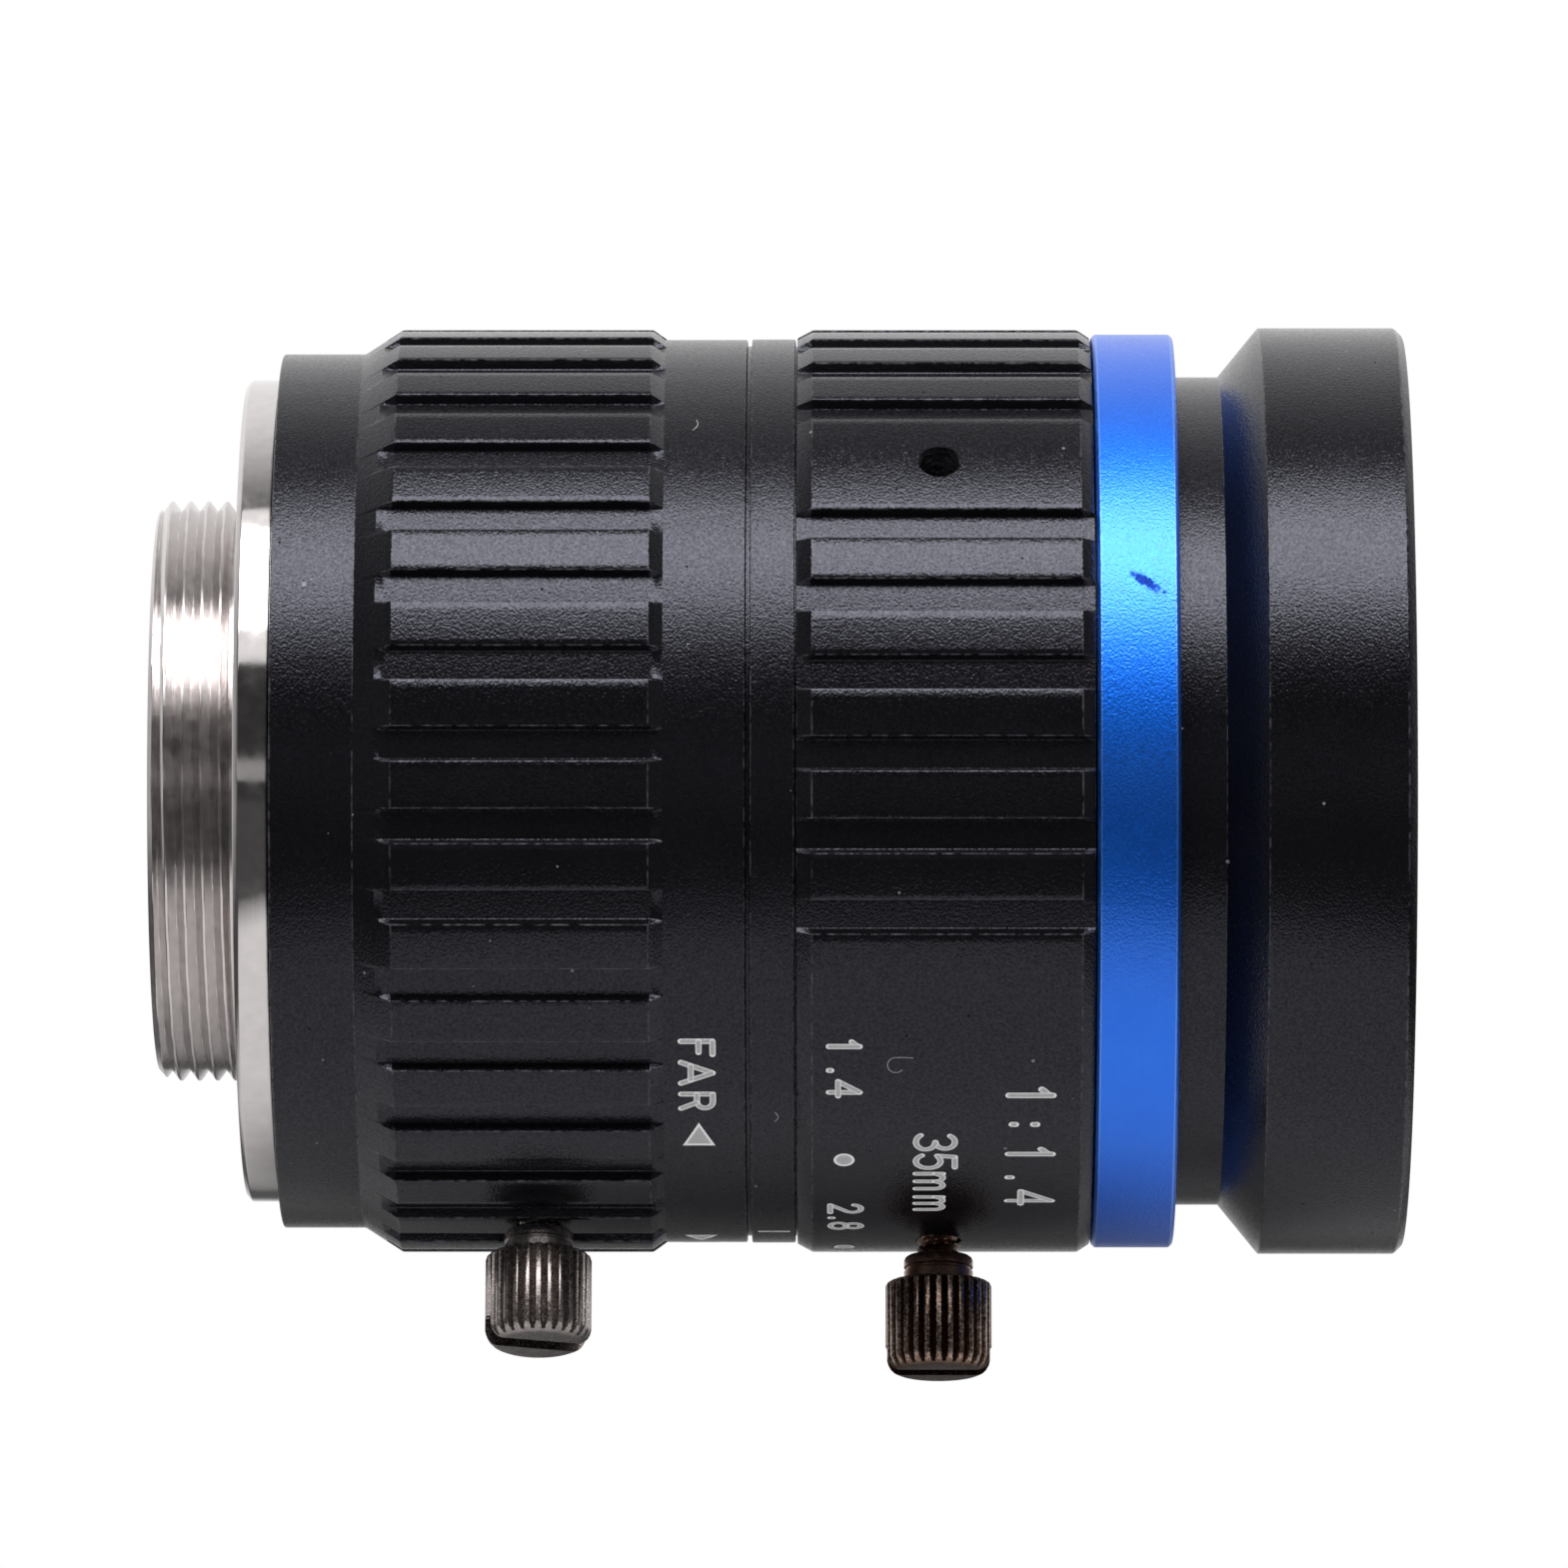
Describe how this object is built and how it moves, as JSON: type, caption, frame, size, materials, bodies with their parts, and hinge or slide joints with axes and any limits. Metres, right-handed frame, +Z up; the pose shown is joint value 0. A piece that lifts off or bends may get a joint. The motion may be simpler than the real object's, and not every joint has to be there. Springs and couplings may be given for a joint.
{
  "type": "c-mount machine vision lens",
  "caption": "Fixed focal length camera lens with a screw mount, ribbed focus and iris rings, knurled lock screws, a blue accent ring and a flared front hood.",
  "frame": {"origin": "centre of the mounting flange's seat, where the thread ends", "axes": "+X along the optical axis towards the front glass, +Z up; the side with the scales faces -Y and the lock screws point down"},
  "size_m": [0.0544, 0.0406, 0.046],
  "materials": {
    "plated_mount": "bright plated brass",
    "black_anodised": "satin, bead blasted and black anodised",
    "inner_black": "matt black anodised",
    "blue_anodised": "blue anodised",
    "black_nickel": "black nickel plated",
    "bare_brass": "machined",
    "nylon_pad": "natural nylon",
    "blade_steel": "blued spring steel",
    "coated_glass": "polished, coated"
  },
  "bodies": {
    "mount_base": {"c_mount_ring": "plated_mount", "base_sleeve": "inner_black", "focus_retainer": "inner_black"},
    "focus_ring": {"focus_ring": "black_anodised"},
    "front_unit": {"drive_sleeve": "inner_black", "guide_key": "bare_brass", "main_barrel": "black_anodised", "index_ring": "black_anodised", "blue_ring": "blue_anodised", "front_barrel": "black_anodised", "front_retaining_ring": "inner_black", "front_spacer": "inner_black", "front_glass": "coated_glass", "second_glass": "coated_glass", "third_glass": "coated_glass", "fourth_glass": "coated_glass", "fifth_glass": "coated_glass", "sixth_glass": "coated_glass", "rear_glass": "coated_glass", "rear_cell": "inner_black", "rear_spacer_front": "inner_black", "rear_spacer_back": "inner_black", "rear_retaining_ring": "inner_black", "iris_housing": "inner_black", "iris_retaining_ring": "inner_black"},
    "iris_ring": {"iris_ring": "black_anodised", "iris_cam_ring": "bare_brass", "iris_drive_screw": "black_nickel"},
    "focus_lock_pad": {"focus_lock_pad": "nylon_pad"},
    "focus_lock_screw": {"focus_lock_screw": "black_nickel"},
    "iris_lock_pad": {"iris_lock_pad": "nylon_pad"},
    "iris_lock_screw": {"iris_lock_screw": "black_nickel"},
    "iris_blade_1": {"iris_blade_1": "blade_steel"},
    "iris_blade_2": {"iris_blade_2": "blade_steel"},
    "iris_blade_3": {"iris_blade_3": "blade_steel"},
    "iris_blade_4": {"iris_blade_4": "blade_steel"},
    "iris_blade_5": {"iris_blade_5": "blade_steel"},
    "iris_blade_6": {"iris_blade_6": "blade_steel"},
    "iris_blade_7": {"iris_blade_7": "blade_steel"},
    "iris_blade_8": {"iris_blade_8": "blade_steel"},
    "iris_blade_9": {"iris_blade_9": "blade_steel"}
  },
  "joints": [
    {"name": "focus_turn", "type": "hinge", "parent": "mount_base", "child": "focus_ring", "pos_m": [0.0117, 0, 0], "axis": [1, 0, 0], "range_deg": [0, 270]},
    {"name": "front_extend", "type": "slide", "parent": "mount_base", "child": "front_unit", "axis": [1, 0, 0], "range_m": [0, 0.0045]},
    {"name": "iris_turn", "type": "hinge", "parent": "front_unit", "child": "iris_ring", "pos_m": [0.0302, 0, 0], "axis": [1, 0, 0], "range_deg": [-72, 42]},
    {"name": "blade_1_swing", "type": "hinge", "parent": "front_unit", "child": "iris_blade_1", "pos_m": [0.0252, 0.01292, 0.00613], "axis": [1, 0, 0], "range_deg": [-23.12, 13.48]},
    {"name": "blade_2_swing", "type": "hinge", "parent": "front_unit", "child": "iris_blade_2", "pos_m": [0.0252, 0.00595, 0.013], "axis": [1, 0, 0], "range_deg": [-23.12, 13.48]},
    {"name": "blade_3_swing", "type": "hinge", "parent": "front_unit", "child": "iris_blade_3", "pos_m": [0.0252, -0.0038, 0.01379], "axis": [1, 0, 0], "range_deg": [-23.12, 13.48]},
    {"name": "blade_4_swing", "type": "hinge", "parent": "front_unit", "child": "iris_blade_4", "pos_m": [0.0252, -0.01177, 0.00812], "axis": [1, 0, 0], "range_deg": [-23.12, 13.48]},
    {"name": "blade_5_swing", "type": "hinge", "parent": "front_unit", "child": "iris_blade_5", "pos_m": [0.0252, -0.01424, -0.00135], "axis": [1, 0, 0], "range_deg": [-23.12, 13.48]},
    {"name": "blade_6_swing", "type": "hinge", "parent": "front_unit", "child": "iris_blade_6", "pos_m": [0.0252, -0.01004, -0.01018], "axis": [1, 0, 0], "range_deg": [-23.12, 13.48]},
    {"name": "blade_7_swing", "type": "hinge", "parent": "front_unit", "child": "iris_blade_7", "pos_m": [0.0252, -0.00115, -0.01425], "axis": [1, 0, 0], "range_deg": [-23.12, 13.48]},
    {"name": "blade_8_swing", "type": "hinge", "parent": "front_unit", "child": "iris_blade_8", "pos_m": [0.0252, 0.00828, -0.01166], "axis": [1, 0, 0], "range_deg": [-23.12, 13.48]},
    {"name": "blade_9_swing", "type": "hinge", "parent": "front_unit", "child": "iris_blade_9", "pos_m": [0.0252, 0.01384, -0.0036], "axis": [1, 0, 0], "range_deg": [-23.12, 13.48]},
    {"name": "focus_lock_travel", "type": "slide", "parent": "focus_ring", "child": "focus_lock_pad", "axis": [0, -0.3551, -0.9348], "range_m": [-0.00015, 0.0006]},
    {"name": "focus_lock_turn", "type": "hinge", "parent": "focus_lock_pad", "child": "focus_lock_screw", "pos_m": [0.01287, -0.00817, -0.0215], "axis": [0, -0.3551, -0.9348], "range_deg": [-135, 540]},
    {"name": "iris_lock_travel", "type": "slide", "parent": "iris_ring", "child": "iris_lock_pad", "axis": [0, -0.2521, -0.9677], "range_m": [-0.00035, 0.0006]},
    {"name": "iris_lock_turn", "type": "hinge", "parent": "iris_lock_pad", "child": "iris_lock_screw", "pos_m": [0.0302, -0.0058, -0.02226], "axis": [0, -0.2521, -0.9677], "range_deg": [-315, 540]}
  ],
  "couplings": [
    {"joint": "focus_turn", "follows": "front_extend", "rad_per_m": 1047.2},
    {"joint": "blade_1_swing", "follows": "iris_turn", "ratio": 0.32105},
    {"joint": "blade_2_swing", "follows": "iris_turn", "ratio": 0.32105},
    {"joint": "blade_3_swing", "follows": "iris_turn", "ratio": 0.32105},
    {"joint": "blade_4_swing", "follows": "iris_turn", "ratio": 0.32105},
    {"joint": "blade_5_swing", "follows": "iris_turn", "ratio": 0.32105},
    {"joint": "blade_6_swing", "follows": "iris_turn", "ratio": 0.32105},
    {"joint": "blade_7_swing", "follows": "iris_turn", "ratio": 0.32105},
    {"joint": "blade_8_swing", "follows": "iris_turn", "ratio": 0.32105},
    {"joint": "blade_9_swing", "follows": "iris_turn", "ratio": 0.32105},
    {"joint": "focus_lock_turn", "follows": "focus_lock_travel", "rad_per_m": 15708},
    {"joint": "iris_lock_turn", "follows": "iris_lock_travel", "rad_per_m": 15708}
  ]
}
